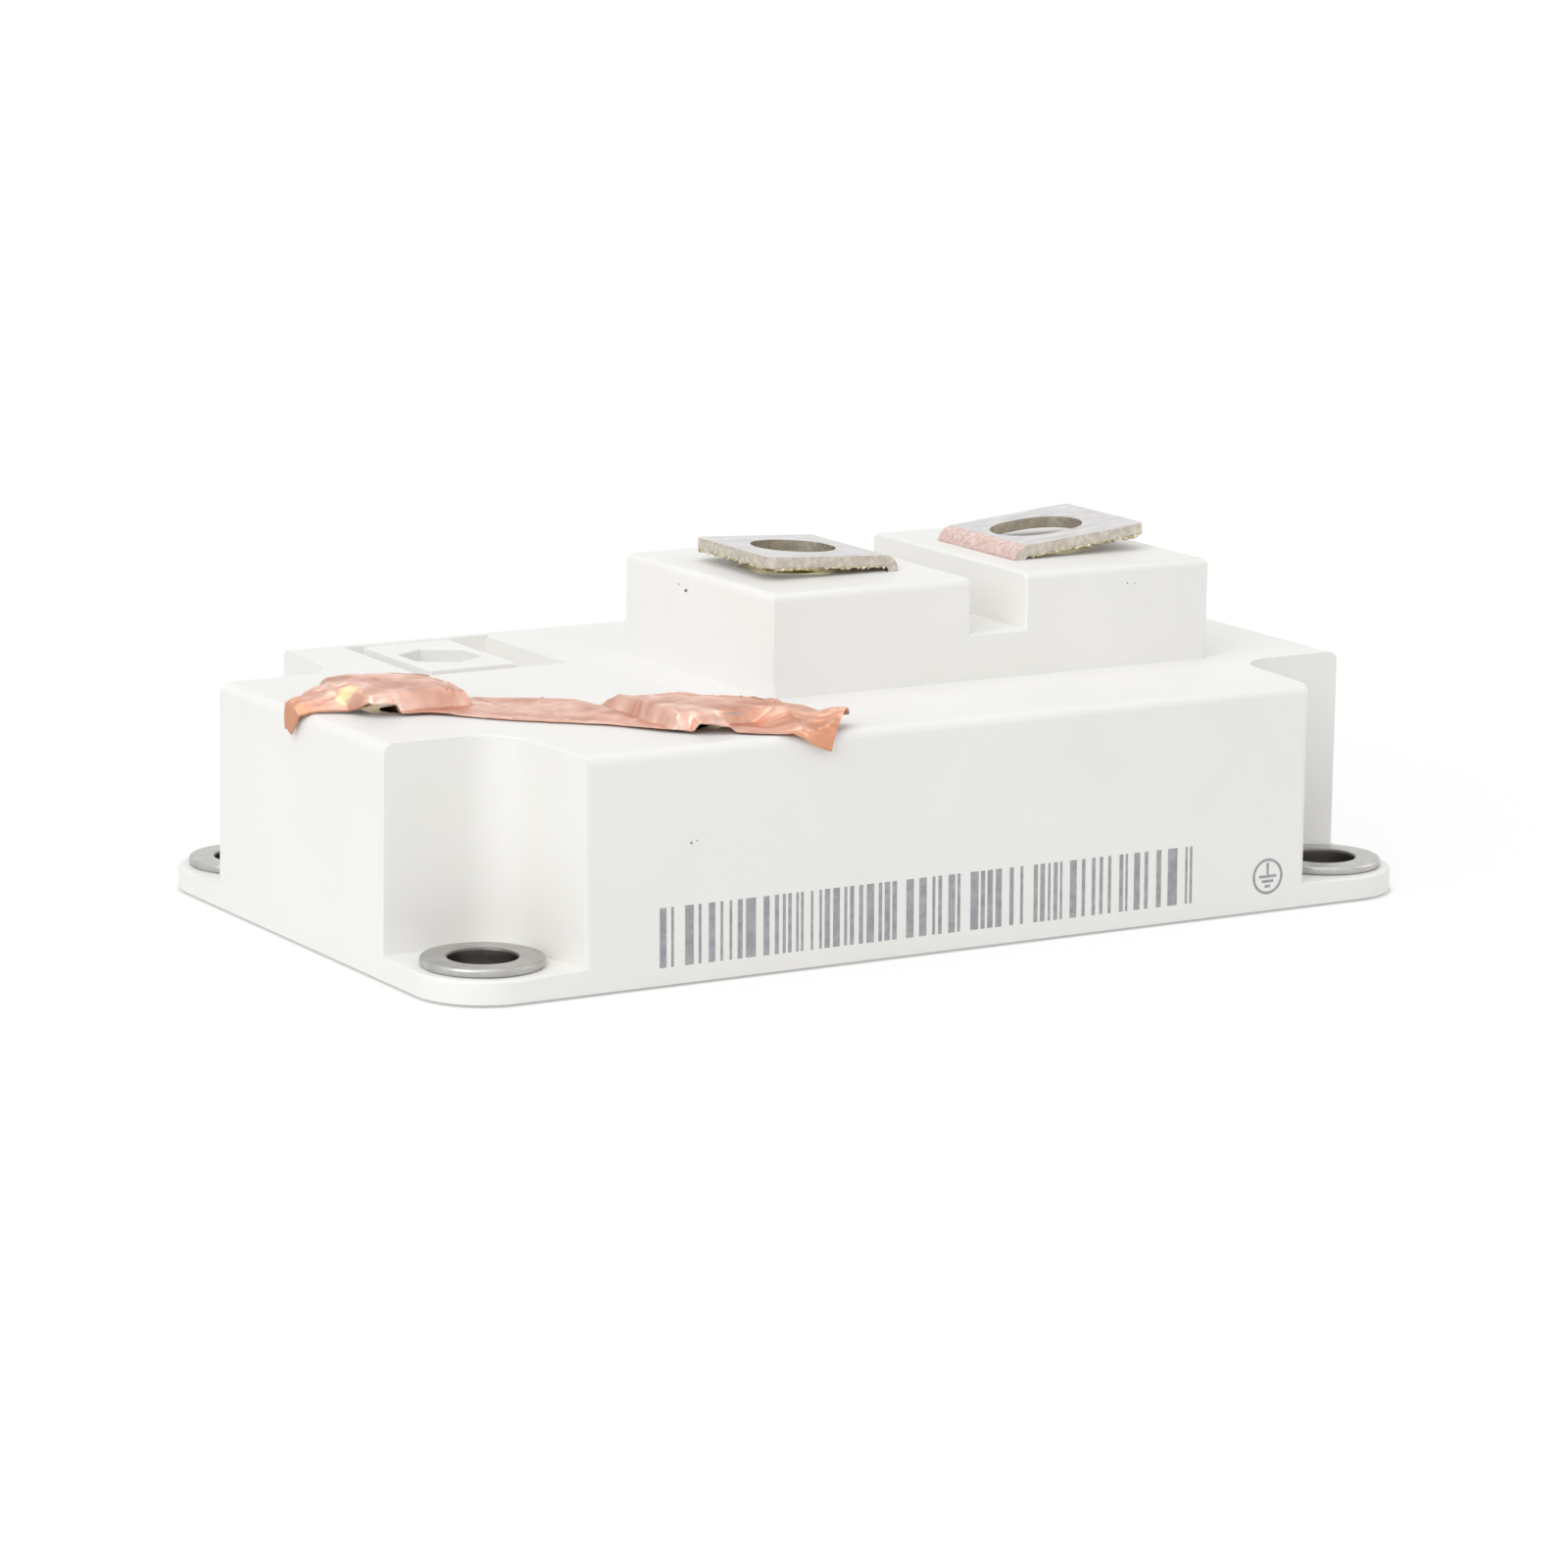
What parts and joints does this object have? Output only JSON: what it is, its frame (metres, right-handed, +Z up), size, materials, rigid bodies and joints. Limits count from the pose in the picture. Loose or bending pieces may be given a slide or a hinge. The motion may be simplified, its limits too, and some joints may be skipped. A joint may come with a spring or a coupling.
{
  "type": "igbt power module",
  "caption": "Flat white power semiconductor module with raised screw terminals, steel-bushed corner holes and a copper shorting foil.",
  "frame": {"origin": "middle of the cooling face of the base plate, between the four mounting holes", "axes": "+X along the length towards the collector terminal, +Y across the width, +Z up out of the deck"},
  "size_m": [0.1069, 0.062, 0.0345],
  "materials": {
    "white_housing": "warm white moulded PBT, satin",
    "nickel_plated_copper": "copper plate with a dull nickel plating",
    "silicone_glue": "off-white silicone glue",
    "bush_steel": "turned steel, fine turning marks",
    "tinned_copper": "tinned copper strap, satin, with brassy punched edges",
    "zinc_plated_steel": "bright zinc plated steel",
    "nut_brass": "plain brass",
    "copper_foil": "thin annealed copper foil, crumpled",
    "solder": "dull grey solder",
    "bare_copper": "bare copper, satin",
    "alumina_ceramic": "white alumina ceramic",
    "silicon": "metallised silicon chip",
    "aluminium_wire": "soft aluminium bond wire",
    "lead_brass": "thin brass lead",
    "silicone_gel": "clear soft silicone gel"
  },
  "bodies": {
    "root": {"housing": "white_housing", "base_plate": "nickel_plated_copper", "seal_bead": "silicone_glue", "bush_front_left": "bush_steel", "bush_front_right": "bush_steel", "bush_rear_left": "bush_steel", "bush_rear_right": "bush_steel", "emitter_terminal": "tinned_copper", "collector_terminal": "tinned_copper", "emitter_nut": "zinc_plated_steel", "collector_nut": "zinc_plated_steel", "gate_terminal": "tinned_copper", "sense_terminal": "tinned_copper", "gate_nut": "nut_brass", "sense_nut": "nut_brass", "shorting_foil": "copper_foil", "left_solder": "solder", "left_back_copper": "bare_copper", "left_ceramic": "alumina_ceramic", "left_collector_pad": "bare_copper", "left_emitter_pad": "bare_copper", "left_gate_pad": "bare_copper", "left_switches": "silicon", "left_diodes": "silicon", "left_power_wires": "aluminium_wire", "left_gate_wires": "aluminium_wire", "right_solder": "solder", "right_back_copper": "bare_copper", "right_ceramic": "alumina_ceramic", "right_collector_pad": "bare_copper", "right_emitter_pad": "bare_copper", "right_gate_pad": "bare_copper", "right_switches": "silicon", "right_diodes": "silicon", "right_power_wires": "aluminium_wire", "right_gate_wires": "aluminium_wire", "gate_lead": "lead_brass", "sense_lead": "lead_brass", "silicone_gel": "silicone_gel"}
  },
  "joints": []
}
